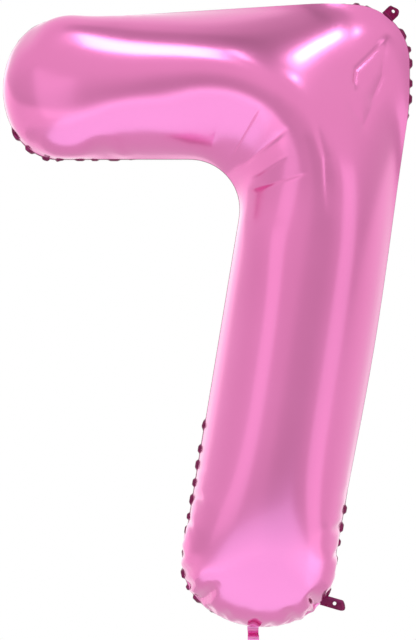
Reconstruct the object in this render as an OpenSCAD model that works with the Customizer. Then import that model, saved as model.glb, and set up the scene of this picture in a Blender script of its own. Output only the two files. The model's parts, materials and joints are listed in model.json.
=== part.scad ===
// Foil number balloon: the figure 7, inflated, hanging from the punched tab at its shoulder.
// Lengths are millimetres and angles are degrees. X runs to the right, Z is up and the front faces -Y.
// Two foil panels bulge to each side of one flat seam, so each tube is about as deep as it is wide.

/* [Figure] */
// Distance from the round end of the arm to the straight edge of the shoulder
reach = 569; // [480:1:640]
// Height of the arm's tube at its round end, seam to seam
arm_stroke = 200; // [160:1:230]
// Width of the stem's tube, seam to seam, square to its edges
stem_stroke = 210; // [160:1:230]
// Length of the stem from the foot of the shoulder edge to the tip of the foot
stem_length = 752; // [600:1:820]
// Lean of the stem from upright
stem_lean = 9.4; // [6:0.1:12]
// Rise of the arm's top edge towards the shoulder
top_rise = 3.6; // [2:0.1:5]
// Rise of the arm's under edge towards the stem
under_rise = 1; // [0:0.1:2]

/* [Corners] */
// Radius of the inner corner between the arm and the stem
inner_radius = 70; // [60:1:80]
// Radius of the shoulder
shoulder_radius = 80; // [70:1:90]
// Height of the upright edge below the shoulder
shoulder_drop = 140; // [120:1:160]
// Distance from the shoulder edge to the crown, where the top edge is highest
crown_back = 118; // [100:1:130]
// Height of the crown above the shoulder's corner
crown_height = 7; // [4:0.5:10]
// Radius that blends the crown and the foot of the shoulder edge
blend_radius = 420; // [350:10:500]
// Length of the arm's round end
arm_round = 77; // [60:1:95]
// Length of the foot's round end
foot_round = 84; // [70:1:100]

/* [Foil] */
// Thickness that stands in for the foil
foil = 0.5; // [0.4:0.05:0.8]
// Width of the flat heat-sealed band outside the bulge
seam_width = 6; // [4:0.5:8]
// Extra half depth for each millimetre that the figure is wider than the stem
corner_swell = 0.06; // [0:0.01:0.3]

/* [Tabs] */
// Place of the shoulder tab on the shoulder's arc, from the horizontal
top_tab_place = 52; // [46:1:60]
// Way the shoulder tab points, from the horizontal
top_tab_angle = 42; // [38:1:55]
// Width of the shoulder tab
top_tab_width = 18.5; // [16:0.5:24]
// Length of the shoulder tab from its fold
top_tab_length = 20; // [18:0.5:26]
// Tilt of the shoulder tab towards the front
top_tab_tilt = 45; // [30:1:60]
// Place of the foot tab on the foot's round end, from the stem's edge
foot_tab_place = 22; // [18:1:30]
// Way the foot tab points, from the horizontal
foot_tab_angle = -15; // [-30:1:-5]
// Width across the curled foot tab
foot_tab_width = 15; // [13:0.5:20]
// Length of the foot tab from its fold
foot_tab_length = 31; // [26:0.5:38]
// Tilt of the foot tab towards the front
foot_tab_tilt = 15; // [0:1:30]
// Diameter of the punched ribbon hole in each tab
hole_diameter = 5; // [3:0.1:6]
// Distance from the shoulder tab's fold to the middle of its hole
top_hole_reach = 11; // [9:0.5:12]
// Distance from the foot tab's fold to the middle of its hole
foot_hole_reach = 14; // [12:0.5:18]

/* [Neck and valve] */
// Place of the inflation neck on the foot's round end, from the stem's edge
neck_place = 86; // [80:1:94]
// Width of the inflation neck
neck_width = 16; // [14:0.5:20]
// Width of the plastic self-sealing valve
valve_width = 28; // [22:1:36]
// Length of the valve inside the stem
valve_length = 150; // [110:5:180]
// Width of the seal along each side of the valve
valve_seal = 3; // [2:0.5:4]

/* [Hidden] */
$fn = 48;

// Stations along the figure and points across each panel
cap_steps = 7;
arm_steps = 6;
bend_steps = 14;
stem_steps = 12;
across_steps = 16;
arc_steps = 8;

// Thin layers and clearances
coating = 0.2;
fold_gap = 0.7;
valve_gap = 2;
neck_gap = 1.2;
wall_gap = 0.05;

// Length of the notches that let the tabs and the neck out through the band
notch_length = 18;

// Share of the neck's width that the release print covers, and the steps of the neck's walk it reaches
print_share = 0.7;
print_steps = 3;

// Distance from the seam line to each tab's fold
top_fold_reach = 2.4;
foot_fold_reach = 3.8;

// Foil colours
pink = [0.84, 0.42, 0.67];
deep_pink = [0.62, 0.18, 0.42];
clear_film = [0.9, 0.9, 0.95, 0.6];
print_grey = [0.75, 0.75, 0.78];

// --- Plane geometry: points are [x, z] in the seam plane, from the shoulder's sharp corner ---

function unit(v) = v / norm(v);
function left_of(v) = [-v[1], v[0]];
function cross2(a, b) = a[0] * b[1] - a[1] * b[0];
function mix(a, b, f) = a + (b - a) * f;

// Where the line through a along u meets the line through b along v
function meet(a, u, b, v) = a + u * cross2(b - a, v) / cross2(u, v);

function rotate_by(v, a) = [v[0] * cos(a) - v[1] * sin(a), v[0] * sin(a) + v[1] * cos(a)];

// Half the angle at the corner b between a and c
function half_angle(a, b, c) = acos(unit(a - b) * unit(c - b)) / 2;

// Centre of the arc of radius r that rounds the corner b between a and c
function fillet_centre(a, b, c, r) =
    b + unit(unit(a - b) + unit(c - b)) * r / sin(half_angle(a, b, c));

// Points of that arc
function fillet(a, b, c, r) =
    let (
        half = half_angle(a, b, c),
        centre = fillet_centre(a, b, c, r),
        first = b + unit(a - b) * r / tan(half),
        turn = (180 - 2 * half) * sign(cross2(b - a, c - b))
    )
    [for (i = [0:arc_steps]) centre + rotate_by(first - centre, turn * i / arc_steps)];

// Running length at each point of a path
function lengths(path, i = 0, run = 0) =
    i >= len(path) - 1
        ? [run]
        : concat([run], lengths(path, i + 1, run + norm(path[i + 1] - path[i])));

// The same path as n equal steps
function even(path, n) =
    let (
        run = lengths(path),
        total = run[len(run) - 1],
        xs = [for (i = [0:len(path) - 1]) [run[i], path[i][0]]],
        zs = [for (i = [0:len(path) - 1]) [run[i], path[i][1]]]
    )
    [for (i = [0:n]) [lookup(total * i / n, xs), lookup(total * i / n, zs)]];

// --- Guide lines of the figure ---

stem_dir = [-sin(stem_lean), -cos(stem_lean)];
stem_across = [-cos(stem_lean), sin(stem_lean)];
top_dir = [cos(top_rise), sin(top_rise)];
under_dir = [cos(under_rise), sin(under_rise)];

shoulder = [0, 0];
shoulder_foot = [0, -shoulder_drop];
crown = [-crown_back, crown_height];
arm_start_x = arm_round - reach;
arm_top = crown - top_dir * (crown[0] - arm_start_x) / top_dir[0];
arm_under = arm_top - [0, arm_stroke];
arm_middle = (arm_top + arm_under) / 2;

stem_edge = shoulder_foot + stem_across * stem_stroke;
inner_corner = meet(arm_under, under_dir, stem_edge, stem_dir);
inner_turn = 90 + stem_lean - under_rise;
inner_tangent = inner_radius * tan(inner_turn / 2);
bend_in = inner_corner - under_dir * inner_tangent;
bend_out = inner_corner + stem_dir * inner_tangent;

// Outer ends of the bend, straight across from the inner ones
bend_in_top = crown - top_dir * (crown[0] - bend_in[0]) / top_dir[0];
bend_out_side = bend_out - stem_across * stem_stroke;

foot_start = shoulder_foot + stem_dir * (stem_length - foot_round);
foot_middle = foot_start + stem_across * stem_stroke / 2;

// Point of the foot's round end at angle a, where 0 is the stem's outer edge and 90 is the tip
function foot_point(a) =
    foot_middle + stem_dir * foot_round * sin(a) - stem_across * stem_stroke / 2 * cos(a);

foot_tip = foot_point(90);
neck_root = foot_point(neck_place) - [0, neck_gap];
arm_tip = arm_middle - [arm_round, 0];

// --- Rails: the seam line, walked from the arm's tip to the foot's tip on each side ---

bend_outer = even(
    concat(
        [bend_in_top],
        fillet(arm_top, crown, shoulder, blend_radius),
        fillet(crown, shoulder, shoulder_foot, shoulder_radius),
        fillet(shoulder, shoulder_foot, foot_start, blend_radius),
        [bend_out_side]
    ),
    bend_steps
);

bend_inner = [
    for (i = [0:bend_steps])
        let (centre = bend_in - left_of(under_dir) * inner_radius)
        centre + rotate_by(bend_in - centre, -inner_turn * i / bend_steps)
];

// One side of the path: side is 1 for the outer rail and -1 for the inner one
function rail(side, arm_edge, bend, foot_edge) = concat(
    [
        for (i = [1:cap_steps - 1])
            let (a = 90 * i / cap_steps)
            [arm_middle[0] - arm_round * cos(a), arm_middle[1] + side * arm_stroke / 2 * sin(a)]
    ],
    [for (i = [0:arm_steps - 1]) mix(arm_edge, bend[0], i / arm_steps)],
    bend,
    [for (i = [1:stem_steps]) mix(bend[bend_steps], foot_edge, i / stem_steps)],
    [
        for (i = [1:cap_steps - 1])
            let (a = 90 * i / cap_steps)
            foot_point(side > 0 ? a : 180 - a)
    ]
);

outer_rail = rail(1, arm_top, bend_outer, foot_start);
inner_rail = rail(-1, arm_under, bend_inner, foot_start + stem_across * stem_stroke);
stations = len(outer_rail);

function reversed(path) = [for (i = [len(path) - 1:-1:0]) path[i]];

// The closed seam line, clockwise as seen from the front
outline = concat([arm_tip], outer_rail, [foot_tip], reversed(inner_rail));

// The outline moved outwards by w
function grown(path, w) = [
    for (i = [0:len(path) - 1])
        let (
            before = path[(i + len(path) - 1) % len(path)],
            after = path[(i + 1) % len(path)]
        )
        path[i] + left_of(unit(after - before)) * w
];

// --- Bulging panels ---

// Half depth of the tube where the rails are c apart
function half_depth(c) = min(c, stem_stroke) / 2 + max(0, c - stem_stroke) * corner_swell;

// One sheet of a panel, t inside the outer surface: the two tips, then the rows between them
function sheet(side, t) = concat(
    [
        [arm_tip[0] + t, 0, arm_tip[1]],
        [foot_tip[0] - stem_dir[0] * t, 0, foot_tip[1] - stem_dir[1] * t]
    ],
    [
        for (i = [0:stations - 1])
            let (
                middle = (outer_rail[i] + inner_rail[i]) / 2,
                chord = norm(outer_rail[i] - inner_rail[i]),
                across = unit(outer_rail[i] - inner_rail[i]) * (chord / 2 - t),
                depth = half_depth(chord) - t
            )
            for (j = [0:across_steps])
                let (
                    a = 180 * j / across_steps,
                    p = middle + across * cos(a)
                )
                [p[0], side * depth * sin(a), p[1]]
    ]
);

// Triangles of one sheet whose points start at index first
function sheet_faces(first) =
    let (row = across_steps + 1, last = first + 2 + (stations - 1) * row)
    concat(
        [for (j = [0:across_steps - 1]) [first, first + 2 + j, first + 3 + j]],
        [for (j = [0:across_steps - 1]) [first + 1, last + j + 1, last + j]],
        [
            for (i = [0:stations - 2])
                for (j = [0:across_steps - 1])
                    let (p = first + 2 + i * row + j)
                    each [[p, p + row, p + 1], [p + 1, p + row, p + row + 1]]
        ]
    );

function flipped(faces) = [for (f = faces) reversed(f)];

// Index of each point on a sheet's rim, in order round the outline
function rim(first) =
    let (row = across_steps + 1)
    concat(
        [first],
        [for (i = [0:stations - 1]) first + 2 + i * row],
        [first + 1],
        [for (i = [stations - 1:-1:0]) first + 2 + i * row + across_steps]
    );

// side is -1 for the front panel and 1 for the back one
module panel(side) {
    count = 2 + stations * (across_steps + 1);
    outer = rim(0);
    inner = rim(count);
    rim_faces = [
        for (k = [0:len(outer) - 1])
            let (n = (k + 1) % len(outer))
            each [[outer[k], inner[k], outer[n]], [outer[n], inner[k], inner[n]]]
    ];
    faces = concat(sheet_faces(0), flipped(sheet_faces(count)), rim_faces);
    polyhedron(
        points = concat(sheet(side, 0), sheet(side, foil)),
        faces = side < 0 ? faces : flipped(faces),
        convexity = 8
    );
}

// Turns a drawing in the seam plane into a flat solid between y = low and y = high
module upright(low, high) {
    translate([0, high, 0])
        rotate([90, 0, 0])
            linear_extrude(height = high - low)
                children();
}

// The band stops where the tabs fold and where the neck leaves the foot
module seam_ring() {
    difference() {
        polygon(grown(outline, seam_width));
        polygon(outline);
        band_notch(top_tab_root, top_tab_angle, top_tab_width, -fold_gap);
        band_notch(foot_tab_root, foot_tab_angle, foot_tab_width, -fold_gap);
        band_notch(foot_point(neck_place), -90, neck_width, -neck_gap);
    }
}

module band_notch(root, angle, width, start) {
    translate(root)
        rotate(angle)
            translate([start, -width / 2 - wall_gap])
                square([notch_length, width + 2 * wall_gap]);
}

// --- Tabs: each is drawn along +X from its fold and then put in place ---

// Point of the seam at each tab, the way the tab points, and the middle of its fold
top_tab_seam = fillet_centre(crown, shoulder, shoulder_foot, shoulder_radius)
    + rotate_by([shoulder_radius, 0], top_tab_place);
top_tab_dir = rotate_by([1, 0], top_tab_angle);
top_tab_root = top_tab_seam + top_tab_dir * top_fold_reach;
foot_tab_dir = rotate_by([1, 0], foot_tab_angle);
foot_tab_root = foot_point(foot_tab_place) + foot_tab_dir * foot_fold_reach;

module tab_plate(width, length, hole_reach) {
    difference() {
        translate([0, foil, 0])
            rotate([90, 0, 0])
                linear_extrude(height = 2 * foil)
                    union() {
                        translate([0, -width / 2])
                            square([length - width / 2, width]);
                        translate([length - width / 2, 0])
                            circle(d = width);
                    }
        translate([hole_reach, 2 * foil, 0])
            rotate([90, 0, 0])
                cylinder(d = hole_diameter, h = 4 * foil);
    }
}

// Tilts a tab towards the front about its fold, points it along angle and moves it to root
module at_fold(root, angle, tilt) {
    translate([root[0], 0, root[1]])
        rotate([0, -angle, 0])
            rotate([0, 0, -tilt])
                children();
}

// The whole figure is moved so that the shoulder tab's hole is at the origin
hole_in_plane = top_tab_root + top_tab_dir * top_hole_reach * cos(top_tab_tilt);
hole_forward = top_hole_reach * sin(top_tab_tilt);

module placed() {
    translate([-hole_in_plane[0], hole_forward, -hole_in_plane[1]])
        children();
}

// --- Neck: a curled strip, walked as [length, turn] pairs in the YZ plane ---

neck_walk = [[3, 0], [5, 45], [5, 45], [5, -60], [5, -60], [4, -40], [3, -40]];

// Middle line of the neck as [y, z, heading], from its root at the foot
function neck_line(walk, i = 0, y = 0, z = 0, heading = 0) =
    i >= len(walk)
        ? [[y, z, heading]]
        : let (h = heading + walk[i][1] / 2)
          concat(
              [[y, z, heading]],
              neck_line(walk, i + 1, y - walk[i][0] * sin(h), z - walk[i][0] * cos(h),
                  heading + walk[i][1])
          );

// The strip between offsets low and high from the middle line, over part of the walk
module neck_strip(low, high, width, last) {
    line = [for (i = [0:last]) neck_line(neck_walk)[i]];
    function side(off) = [for (p = line) [p[0] + off * cos(p[2]), p[1] - off * sin(p[2])]];
    translate([neck_root[0] - width / 2, 0, neck_root[1]])
        rotate([90, 0, 90])
            linear_extrude(height = width)
                polygon(concat(side(low), reversed(side(high))));
}

// --- Valve: flat films that stand inside the stem, along its lean ---

module in_stem() {
    translate([neck_root[0], 0, neck_root[1] + neck_gap])
        rotate([0, stem_lean, 0])
            translate([0, 0, valve_gap])
                children();
}

module valve_film(low) {
    in_stem()
        translate([-valve_width / 2, low, 0])
            cube([valve_width, foil, valve_length]);
}

// --- Sub-parts ---

module front_panel() {
    color(pink)
        placed()
            panel(-1);
}

module back_panel() {
    color(pink)
        placed()
            panel(1);
}

module seam_band() {
    color(deep_pink)
        placed()
            upright(-foil, foil)
                seam_ring();
}

module top_tab() {
    color(deep_pink)
        placed()
            at_fold(top_tab_root, top_tab_angle, top_tab_tilt)
                tab_plate(top_tab_width, top_tab_length, top_hole_reach);
}

module foot_tab() {
    color(deep_pink)
        placed()
            at_fold(foot_tab_root, foot_tab_angle, foot_tab_tilt)
                tab_plate(foot_tab_width, foot_tab_length, foot_hole_reach);
}

module neck_front_film() {
    color(pink)
        placed()
            neck_strip(-coating / 2 - foil, -coating / 2, neck_width - 2 * wall_gap, len(neck_walk));
}

module neck_back_film() {
    color(pink)
        placed()
            neck_strip(coating / 2, coating / 2 + foil, neck_width - 2 * wall_gap, len(neck_walk));
}

module neck_release_coating() {
    color(print_grey)
        placed()
            neck_strip(-coating / 2, coating / 2, neck_width * print_share, print_steps);
}

module valve_front_film() {
    color(clear_film)
        placed()
            valve_film(-coating / 2 - foil);
}

module valve_back_film() {
    color(clear_film)
        placed()
            valve_film(coating / 2);
}

module valve_side_seals() {
    color(clear_film)
        placed()
            in_stem()
                for (side = [-1, 1])
                    translate([side * (valve_width - valve_seal) / 2 - valve_seal / 2, -coating / 2, 0])
                        cube([valve_seal, coating, valve_length]);
}

front_panel();
back_panel();
seam_band();
top_tab();
foot_tab();
neck_front_film();
neck_back_film();
neck_release_coating();
valve_front_film();
valve_back_film();
valve_side_seals();
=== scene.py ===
import json
import math

import bpy
import numpy as np
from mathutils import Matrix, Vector


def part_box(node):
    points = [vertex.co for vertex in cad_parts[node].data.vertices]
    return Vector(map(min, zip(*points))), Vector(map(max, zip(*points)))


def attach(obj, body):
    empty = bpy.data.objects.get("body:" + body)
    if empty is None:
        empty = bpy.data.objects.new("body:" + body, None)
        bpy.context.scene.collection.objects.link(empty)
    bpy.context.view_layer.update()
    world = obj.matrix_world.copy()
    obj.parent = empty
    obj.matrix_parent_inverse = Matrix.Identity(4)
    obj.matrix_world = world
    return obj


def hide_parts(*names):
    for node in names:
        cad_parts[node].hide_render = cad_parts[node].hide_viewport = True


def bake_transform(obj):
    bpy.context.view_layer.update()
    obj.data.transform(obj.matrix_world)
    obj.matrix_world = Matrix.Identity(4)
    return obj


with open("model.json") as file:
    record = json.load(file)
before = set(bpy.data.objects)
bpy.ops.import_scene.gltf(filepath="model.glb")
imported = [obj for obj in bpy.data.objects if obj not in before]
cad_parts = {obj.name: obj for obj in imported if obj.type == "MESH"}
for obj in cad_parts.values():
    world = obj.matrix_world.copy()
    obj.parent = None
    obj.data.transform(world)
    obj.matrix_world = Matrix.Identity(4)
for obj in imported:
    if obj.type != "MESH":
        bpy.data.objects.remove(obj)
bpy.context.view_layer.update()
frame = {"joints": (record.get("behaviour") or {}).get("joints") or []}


# ---- Driving sizes, in metres and radians. The seam lies in the plane (x, z) at y = SEAM_Y

PANEL_LOW, PANEL_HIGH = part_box("front_panel")
SEAM_Y = PANEL_HIGH.y
ARM_TIP_X = PANEL_LOW.x
SHOULDER_X = PANEL_HIGH.x
SHOULDER_Z = 0.00554          # height of the shoulder's sharp corner above the hanging hole

ARM_STROKE = 0.195            # inflated widths of the arm and of the stem, seam to seam
STEM_STROKE = 0.210
STEM_LENGTH = 0.752
STEM_LEAN = math.radians(9.4)
TOP_RISE = math.radians(3.6)
UNDER_RISE = 0.0              # the arm's underside is level
INNER_RADIUS = 0.070
SHOULDER_RADIUS = 0.080
SHOULDER_DROP = 0.140
CROWN_BACK = 0.118
CROWN_HEIGHT = 0.007
BLEND_RADIUS = 0.420
ARM_ROUND = 0.077
FOOT_ROUND = 0.084
STEM_BOW = 0.006              # how far the gas bows the stem's outer edge
SEAM_WIDTH = 0.006

# The flat cut is wider than the inflated figure: a flat tube of width w fills to 2 w / pi across
FLAT_GROWTH = 0.47 * (math.pi / 2 - 1)
ARM_END_GROWTH = 0.036
FOOT_END_GROWTH = 0.038
FLAT_RADII = dict(under=0.150, top=0.155, shoulder=0.110, heel=0.155, toe=0.160, inner=0.040)
CORNER_CLOSING = math.radians(28)   # how far the gas closes the angle between arm and stem
CRIMP_SHARE = 0.15                  # part of the crimps' full height at the seam line
EDGE_SHARE = 0.60                   # and what the outer edge of the sealed strip adds to it
CRIMP_SPREAD = 0.120                # how far round a corner the seam's spare length spreads
CRIMP_LENGTH = 0.020                # length of one crimp along the inflated seam

IRON_REACH = (0.175, 0.200)   # how far along and away from the inner seam folds are ironed out
IRON_FADE = 0.060
IRON_KERNEL = (0.011, 0.036)  # reach of the ironing away from the seam and along it
BEND_SCALE = 0.100            # length that one radian of the inner bend counts for when ironing
CALM_REACH = 0.190            # how far from the arm's tip the folds are softened
CALM_FADE = 0.070
CALM_ROUNDS = 120
CALM_STEPS = (0.60, -0.62)    # a smoothing step that shrinks, and one that grows it back

CELL = 0.0078                 # size of a simulated quad
STRETCH = 0.4                 # stiffness of the foil as cloth
SHEAR = 0.1
BEND = 0.5
PRESSURE = 6
SIM_FRAMES = 42
DRAW_IN_FRAMES = 24           # the seam is drawn in from the flat cut over these frames
SMOOTH_LEVELS = 2             # subdivision of the simulated quads

PLIES = 0.0002                # thickness of the sealed strip
TAB_THICKNESS = 0.0003
NECK_FILM = 0.00012


# ---- Plane geometry

def unit(v):
    return v / np.linalg.norm(v)


def cross2(a, b):
    return a[0] * b[1] - a[1] * b[0]


def left_of(v):
    return np.array([-v[1], v[0]])


def meet(a, u, b, v):
    """Where the line through a along u meets the line through b along v."""
    return a + u * cross2(b - a, v) / cross2(u, v)


def arc(centre, first, turn, steps=24):
    """Points of an arc about centre that starts at first and turns by turn radians."""
    angles = np.linspace(0, turn, steps + 1)
    d = first - centre
    return np.stack([centre[0] + d[0] * np.cos(angles) - d[1] * np.sin(angles),
                     centre[1] + d[0] * np.sin(angles) + d[1] * np.cos(angles)], 1)


def fillet(a, b, c, r):
    """Points of the arc of radius r that rounds the corner b between a and c."""
    u, v = unit(a - b), unit(c - b)
    half = math.acos(np.clip(u @ v, -1, 1)) / 2
    centre = b + unit(u + v) * r / math.sin(half)
    turn = (math.pi - 2 * half) * np.sign(cross2(b - a, c - b))
    return arc(centre, b + u * r / math.tan(half), turn)


def ease(x):
    """Smooth step from 0 to 1 as x goes from 0 to 1."""
    x = np.clip(x, 0, 1)
    return x * x * (3 - 2 * x)


class Loop:
    """A closed path, clockwise from the front, measured by its running length."""

    def __init__(self, points):
        gaps = np.linalg.norm(np.roll(points, -1, 0) - points, axis=1)
        points = points[gaps > 1e-9]
        self.points = np.vstack([points, points[:1]])
        steps = np.linalg.norm(np.diff(self.points, axis=0), axis=1)
        self.run = np.concatenate([[0], np.cumsum(steps)])
        self.length = self.run[-1]

    def at(self, s):
        s = np.mod(s, self.length)
        return np.stack([np.interp(s, self.run, self.points[:, k]) for k in (0, 1)], -1)

    def nearest(self, p):
        s = np.linspace(0, self.length, 8000, endpoint=False)
        return s[np.argmin(np.linalg.norm(self.at(s) - p, axis=1))]


# ---- Guide lines, as in the CAD model but with a level underside

stem_dir = np.array([-math.sin(STEM_LEAN), -math.cos(STEM_LEAN)])
stem_across = np.array([-math.cos(STEM_LEAN), math.sin(STEM_LEAN)])
top_dir = np.array([math.cos(TOP_RISE), math.sin(TOP_RISE)])
under_dir = np.array([math.cos(UNDER_RISE), math.sin(UNDER_RISE)])

shoulder = np.array([SHOULDER_X, SHOULDER_Z])
shoulder_foot = shoulder - [0, SHOULDER_DROP]
crown = shoulder + [-CROWN_BACK, CROWN_HEIGHT]
arm_top = crown - top_dir * (crown[0] - ARM_TIP_X - ARM_ROUND) / top_dir[0]
arm_under = arm_top - [0, ARM_STROKE]
arm_middle = (arm_top + arm_under) / 2
arm_tip = arm_middle - [ARM_ROUND, 0]

stem_edge = shoulder_foot + stem_across * STEM_STROKE
inner_corner = meet(arm_under, under_dir, stem_edge, stem_dir)
inner_turn = math.pi / 2 + STEM_LEAN - UNDER_RISE
inner_tangent = INNER_RADIUS * math.tan(inner_turn / 2)
bend_in = inner_corner - under_dir * inner_tangent
inner_centre = bend_in - left_of(under_dir) * INNER_RADIUS

foot_start = shoulder_foot + stem_dir * (STEM_LENGTH - FOOT_ROUND)
foot_middle = foot_start + stem_across * STEM_STROKE / 2


def foot_point(a):
    """Point of the foot's round end at angle a: 0 is the stem's outer edge and 90 is the tip."""
    a = math.radians(a)
    return (foot_middle + stem_dir * FOOT_ROUND * math.sin(a)
            - stem_across * STEM_STROKE / 2 * math.cos(a))


foot_tip = foot_point(90)


def inflated_outline():
    quarter = np.radians(np.linspace(0, 90, 25))
    arm_upper = arm_middle + np.stack([-ARM_ROUND * np.cos(quarter),
                                       ARM_STROKE / 2 * np.sin(quarter)], 1)
    arm_lower = arm_middle + np.stack([-ARM_ROUND * np.cos(quarter),
                                       -ARM_STROKE / 2 * np.sin(quarter)], 1)[::-1]
    foot = np.array([foot_point(a) for a in np.linspace(0, 180, 49)])
    inner = arc(inner_centre, bend_in, -inner_turn)[::-1]
    down = np.linspace(0, 1, 31)[3:-1, None]
    outer = (shoulder_foot * (1 - down) + foot_start * down
             - stem_across * STEM_BOW * np.sin(math.pi * down) ** 2)
    return Loop(np.vstack([
        arm_upper,
        fillet(arm_top, crown, shoulder, BLEND_RADIUS),
        fillet(crown, shoulder, shoulder_foot, SHOULDER_RADIUS),
        fillet(shoulder, shoulder_foot, foot_start, BLEND_RADIUS),
        outer,
        foot,
        inner,
        arm_lower,
    ]))


arm_grow = ARM_STROKE * FLAT_GROWTH
stem_grow = STEM_STROKE * FLAT_GROWTH
# The seam keeps its length round the inner corner, so the flat corner sits this far along
# each limb from where the inflated edges would meet
flat_inner_turn = inner_turn - CORNER_CLOSING
inner_shift = (INNER_RADIUS * (math.tan(inner_turn / 2) - inner_turn / 2)
               - FLAT_RADII["inner"] * (math.tan(flat_inner_turn / 2) - flat_inner_turn / 2))
arm_pivot = inner_corner - under_dir * inner_shift - left_of(under_dir) * arm_grow
flat_pivot = inner_corner + stem_dir * inner_shift + stem_across * stem_grow


def opened(p):
    """Where the arm's point p lies in the flat cut, before the gas closes the inner corner."""
    d = np.asarray(p) - arm_pivot
    c, s = math.cos(CORNER_CLOSING), math.sin(CORNER_CLOSING)
    return flat_pivot + [c * d[0] + s * d[1], c * d[1] - s * d[0]]


def opened_line(p, u):
    return opened(p), unit(opened(p + u) - opened(p))


def flat_outline():
    across_arm = np.array([0.0, 1.0])
    lines = dict(
        top=opened_line(crown + left_of(top_dir) * arm_grow, top_dir),
        outer=(shoulder_foot - stem_across * stem_grow, stem_dir),
        foot=(foot_tip + stem_dir * FOOT_END_GROWTH, stem_across),
        stem=(stem_edge + stem_across * stem_grow, -stem_dir),
        under=opened_line(arm_under - left_of(under_dir) * arm_grow, -under_dir),
        end=opened_line(arm_tip - [ARM_END_GROWTH, 0], across_arm),
    )
    order = ["end", "top", "outer", "foot", "stem", "under"]
    names = ["top", "shoulder", "heel", "toe", "inner", "under"]
    corners = [meet(*lines[order[k]], *lines[order[(k + 1) % 6]]) for k in range(6)]
    rounds = [fillet(corners[k - 1], corners[k], corners[(k + 1) % 6], FLAT_RADII[names[k]])
              for k in range(6)]
    loop = Loop(np.vstack(rounds))
    middles = {names[k]: loop.nearest(rounds[k][len(rounds[k]) // 2]) for k in range(6)}
    return loop, middles


inflated = inflated_outline()
flat, flat_corner = flat_outline()


def draw_in_map():
    """Running length on the inflated outline for each running length on the flat one.

    The two agree length for length along the straight edges; what is left over is taken up
    at the convex corners, where the seam crimps. Returns a function and the local ratio."""
    top_middle = (arm_top + crown) / 2
    outer_middle = (shoulder_foot + foot_start) / 2
    stem_middle = foot_start + stem_across * STEM_STROKE - stem_dir * 0.26
    under_middle = (arm_under + bend_in) / 2
    shoulder_arc = fillet(crown, shoulder, shoulder_foot, SHOULDER_RADIUS)
    inner_arc = arc(inner_centre, bend_in, -inner_turn)
    pairs = [
        (opened(arm_tip - [ARM_END_GROWTH, 0]), arm_tip, "top"),
        (opened(top_middle + left_of(top_dir) * arm_grow), top_middle, "shoulder"),
        (flat.at(flat_corner["shoulder"]), shoulder_arc[len(shoulder_arc) // 2], "shoulder"),
        (outer_middle - stem_across * stem_grow, outer_middle, "heel"),
        (foot_tip + stem_dir * FOOT_END_GROWTH, foot_tip, "toe"),
        (stem_middle + stem_across * stem_grow, stem_middle, None),
        (flat.at(flat_corner["inner"]), inner_arc[len(inner_arc) // 2], None),
        (opened(under_middle - left_of(under_dir) * arm_grow), under_middle, "under"),
    ]
    flat_at = [flat.nearest(p) for p, _, _ in pairs]
    full_at = [inflated.nearest(q) for _, q, _ in pairs]
    knots, values = [], []
    for k, (_, _, corner) in enumerate(pairs):
        span = np.mod(flat_at[(k + 1) % 8] - flat_at[k], flat.length)
        goal = np.mod(full_at[(k + 1) % 8] - full_at[k], inflated.length)
        s = np.linspace(0, span, 201)
        if corner is None:
            rate = np.full(201, goal / span)
        else:
            centre = np.mod(flat_corner[corner] - flat_at[k] + flat.length / 2, flat.length)
            d = s - (centre - flat.length / 2)
            bump = np.exp(-(d / CRIMP_SPREAD) ** 2)
            rate = 1 - bump * (span - goal) / np.trapz(bump, s)
        run = np.concatenate([[0], np.cumsum((rate[1:] + rate[:-1]) / 2 * np.diff(s))])
        start = flat_at[k] if not knots else knots[-1]
        base = full_at[k] if not values else values[-1]
        knots += list(start + s[1:]) if knots else list(start + s)
        values += list(base + run[1:] * goal / run[-1]) if values else list(base + run)
    knots, values = np.array(knots), np.array(values)

    def mapped(s):
        s = np.mod(s - knots[0], flat.length) + knots[0]
        return np.interp(s, knots, values)

    def ratio(s, step=0.004):
        ahead = np.mod(mapped(s + step) - mapped(s - step), inflated.length)
        return ahead / (2 * step)

    return mapped, ratio


mapped, ratio = draw_in_map()


# ---- The L-shaped grid of quads that both panels are cut on

def spans(a, b):
    """Length of the flat outline from corner a clockwise to corner b."""
    return np.mod(flat_corner[b] - flat_corner[a], flat.length)


across_cells = int(round((spans("under", "top") + spans("heel", "toe")) / 2 / CELL))
arm_cells = int(round(spans("inner", "under") / CELL))
stem_cells = int(round(spans("toe", "inner") / CELL))
COLS = arm_cells + across_cells
ROWS = across_cells + stem_cells

valid = np.zeros((COLS + 1, ROWS + 1), bool)
valid[:, :across_cells + 1] = True
valid[arm_cells:, :] = True


def edge_cells():
    """Grid places round the outline, clockwise from the inner corner, with their flat lengths."""
    walk = [
        ("inner", "under", [(c, across_cells) for c in range(arm_cells, 0, -1)]),
        ("under", "top", [(0, r) for r in range(across_cells, 0, -1)]),
        ("top", "shoulder", [(c, 0) for c in range(0, COLS)]),
        ("shoulder", "heel", [(COLS, r) for r in range(0, ROWS)]),
        ("heel", "toe", [(c, ROWS) for c in range(COLS, arm_cells, -1)]),
        ("toe", "inner", [(arm_cells, r) for r in range(ROWS, across_cells, -1)]),
    ]
    cells, runs = [], []
    for a, b, places in walk:
        cells += places
        runs += list(flat_corner[a] + spans(a, b) * np.arange(len(places)) / len(places))
    return cells, np.array(runs)


edge, edge_run = edge_cells()
edge_flat = flat.at(edge_run)
edge_full = inflated.at(mapped(edge_run))

edge_at = np.mod(mapped(edge_run), inflated.length)
order = np.argsort(edge_at)
edge_spare = np.clip(1 / np.clip(ratio(edge_run), 0.5, 1) - 1, 0, None)

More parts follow.
